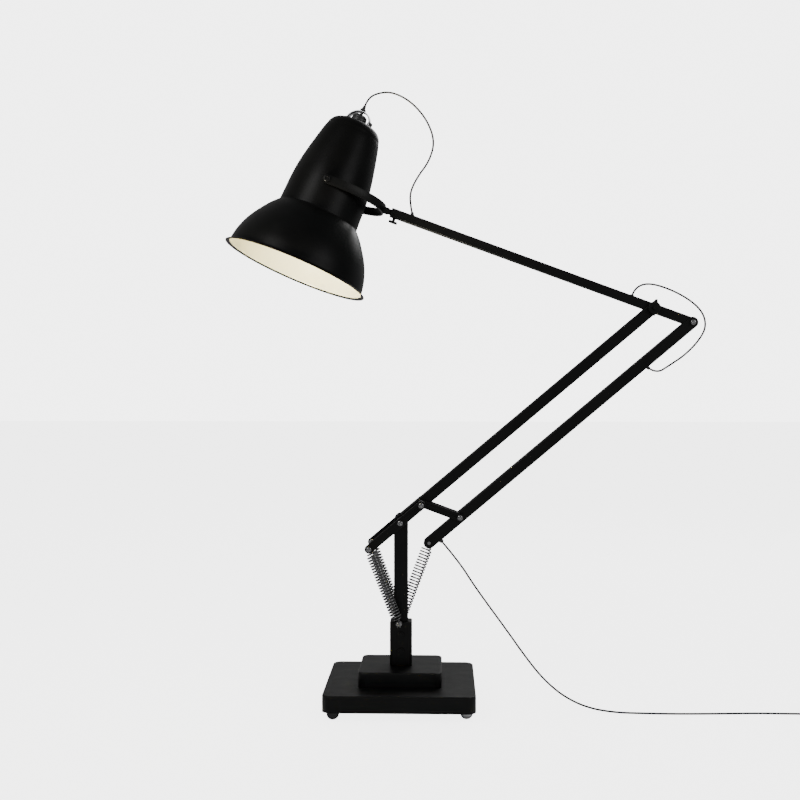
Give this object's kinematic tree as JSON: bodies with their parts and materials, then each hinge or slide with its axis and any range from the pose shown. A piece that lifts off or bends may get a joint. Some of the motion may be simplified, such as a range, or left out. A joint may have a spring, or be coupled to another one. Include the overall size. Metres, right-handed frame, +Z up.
{
  "type": "floor lamp",
  "caption": "Oversized spring-balanced floor lamp: wheeled square base, channel mast, parallelogram arms, forked tilting bell shade and mains lead.",
  "frame": {"origin": "on the floor under the mast's swivel axis", "axes": "+Z up, +X from the mast towards the elbow, arms in the XZ plane, -Y towards the side with the elbow wing nut"},
  "size_m": [1.8354, 0.4813, 1.8725],
  "materials": {
    "painted_black": "satin black powder coat",
    "chrome_trim": "polished chrome",
    "steel_part": "zinc plated steel",
    "spring_steel": "bright drawn spring wire",
    "cast_ballast": "rough cast, painted",
    "brass_bush": "plain bearing bush",
    "castor_tyre": "black rubber tread",
    "black_plastic": "moulded black plastic",
    "black_cord": "black flex",
    "shade_paint": "semi-gloss black outside, white inside",
    "bulb_glass": "frosted glass with metal cap"
  },
  "bodies": {
    "base": {"base_plate": "painted_black", "base_step": "painted_black", "ballast_plate": "cast_ballast", "base_screws": "steel_part", "castor_sockets": "steel_part", "swivel_bush": "brass_bush", "mains_cable": "black_cord", "mains_coil": "black_cord", "mains_plug": "black_plastic"},
    "upright": {"mast_bracket": "painted_black", "mast": "painted_black", "swivel_spindle": "steel_part", "spindle_nut": "steel_part", "bracket_bolts": "painted_black", "spring_anchor_shaft": "steel_part", "spring_near": "spring_steel", "spring_far": "spring_steel", "spring_rear": "spring_steel"},
    "lower_arm": {"lower_arm_tube": "painted_black", "yoke_plates": "painted_black", "mast_pivot_shaft": "chrome_trim", "link_pivot_shaft": "chrome_trim", "spring_pins": "chrome_trim", "yoke_spacers": "steel_part", "elbow_bolt": "steel_part"},
    "elbow_knob": {"elbow_wing_nut": "painted_black"},
    "upper_arm": {"upper_arm_tube": "painted_black", "upper_arm_bushes": "brass_bush", "upper_arm_plug": "black_plastic", "upper_arm_grommets": "black_plastic", "elbow_cable": "black_cord"},
    "rear_bar": {"rear_bar_tube": "painted_black", "rear_bar_grommets": "black_plastic", "tail_pivot_bolt": "steel_part", "link_end_bolt": "steel_part", "rear_spring_pin": "steel_part"},
    "link": {"link_plates": "painted_black"},
    "fork": {"head_fork": "painted_black", "fork_pivot_screws": "painted_black"},
    "thumb_screw": {"thumb_screw": "painted_black"},
    "shade": {"shade_shell": "shade_paint", "lampholder": "black_plastic", "lampholder_cap": "black_plastic", "cap_bridge": "chrome_trim", "cable_gland": "black_plastic", "bulb": "bulb_glass", "head_cable": "black_cord"},
    "castor_1": {"castor_hood_1": "chrome_trim"},
    "castor_wheel_1": {"castor_tyre_1": "castor_tyre", "castor_hub_1": "black_plastic"},
    "castor_2": {"castor_hood_2": "chrome_trim"},
    "castor_wheel_2": {"castor_tyre_2": "castor_tyre", "castor_hub_2": "black_plastic"},
    "castor_3": {"castor_hood_3": "chrome_trim"},
    "castor_wheel_3": {"castor_tyre_3": "castor_tyre", "castor_hub_3": "black_plastic"},
    "castor_4": {"castor_hood_4": "chrome_trim"},
    "castor_wheel_4": {"castor_tyre_4": "castor_tyre", "castor_hub_4": "black_plastic"}
  },
  "joints": [
    {"name": "base_swivel", "type": "hinge", "parent": "base", "child": "upright", "pos_m": [0, 0, 0.122], "axis": [0, 0, 1], "range_deg": [-90, 90]},
    {"name": "lower_arm_pivot", "type": "hinge", "parent": "upright", "child": "lower_arm", "pos_m": [0, 0, 0.562], "axis": [0, -1, 0], "range_deg": [-10, 50], "deforming": ["spring_near", "spring_far", "mains_cable"]},
    {"name": "elbow", "type": "hinge", "parent": "lower_arm", "child": "upper_arm", "pos_m": [0.7638, 0, 1.20746], "axis": [0, -1, 0], "range_deg": [-40, 22], "deforming": ["spring_rear", "elbow_cable"]},
    {"name": "rear_bar_pivot", "type": "hinge", "parent": "upper_arm", "child": "rear_bar", "pos_m": [0.88111, 0, 1.1643], "axis": [0, -1, 0], "range_deg": [-22, 40]},
    {"name": "link_pivot", "type": "hinge", "parent": "rear_bar", "child": "link", "pos_m": [0.17994, 0, 0.57177], "axis": [0, -1, 0], "range_deg": [-40, 22]},
    {"name": "head_roll", "type": "hinge", "parent": "upper_arm", "child": "fork", "pos_m": [-0.21974, 0, 1.56933], "axis": [0.9385, 0, -0.3453], "range_deg": [-90, 90]},
    {"name": "shade_tilt", "type": "hinge", "parent": "fork", "child": "shade", "pos_m": [-0.21974, 0, 1.56933], "axis": [-0.0403, 0.9932, -0.1095], "range_deg": [-24, 22], "deforming": ["head_cable"]},
    {"name": "elbow_knob_turn", "type": "hinge", "parent": "lower_arm", "child": "elbow_knob", "pos_m": [0.7638, 0, 1.20746], "axis": [0, -1, 0], "range_deg": [-180, 180]},
    {"name": "thumb_screw_turn", "type": "hinge", "parent": "upper_arm", "child": "thumb_screw", "pos_m": [-0.01609, 0, 1.4944], "axis": [-0.3453, 0, -0.9385], "range_deg": [-180, 180]},
    {"name": "castor_swivel_1", "type": "hinge", "parent": "base", "child": "castor_1", "pos_m": [-0.188, -0.188, 0.046], "axis": [0, 0, 1], "continuous": true},
    {"name": "castor_roll_1", "type": "hinge", "parent": "castor_1", "child": "castor_wheel_1", "pos_m": [-0.19403, -0.19414, 0.0185], "axis": [0.1736, -0.9848, 0], "continuous": true},
    {"name": "castor_swivel_2", "type": "hinge", "parent": "base", "child": "castor_2", "pos_m": [0.188, -0.188, 0.046], "axis": [0, 0, 1], "continuous": true},
    {"name": "castor_roll_2", "type": "hinge", "parent": "castor_2", "child": "castor_wheel_2", "pos_m": [0.19616, -0.18527, 0.0185], "axis": [0.2924, 0.9563, 0], "continuous": true},
    {"name": "castor_swivel_3", "type": "hinge", "parent": "base", "child": "castor_3", "pos_m": [0.188, 0.188, 0.046], "axis": [0, 0, 1], "continuous": true},
    {"name": "castor_roll_3", "type": "hinge", "parent": "castor_3", "child": "castor_wheel_3", "pos_m": [0.19087, 0.19611, 0.0185], "axis": [-0.5736, 0.8192, 0], "continuous": true},
    {"name": "castor_swivel_4", "type": "hinge", "parent": "base", "child": "castor_4", "pos_m": [-0.188, 0.188, 0.046], "axis": [0, 0, 1], "continuous": true},
    {"name": "castor_roll_4", "type": "hinge", "parent": "castor_4", "child": "castor_wheel_4", "pos_m": [-0.19656, 0.18717, 0.0185], "axis": [-0.5, -0.866, 0], "continuous": true}
  ],
  "couplings": [
    {"joint": "rear_bar_pivot", "follows": "elbow", "ratio": -1},
    {"joint": "link_pivot", "follows": "elbow", "ratio": 1}
  ]
}
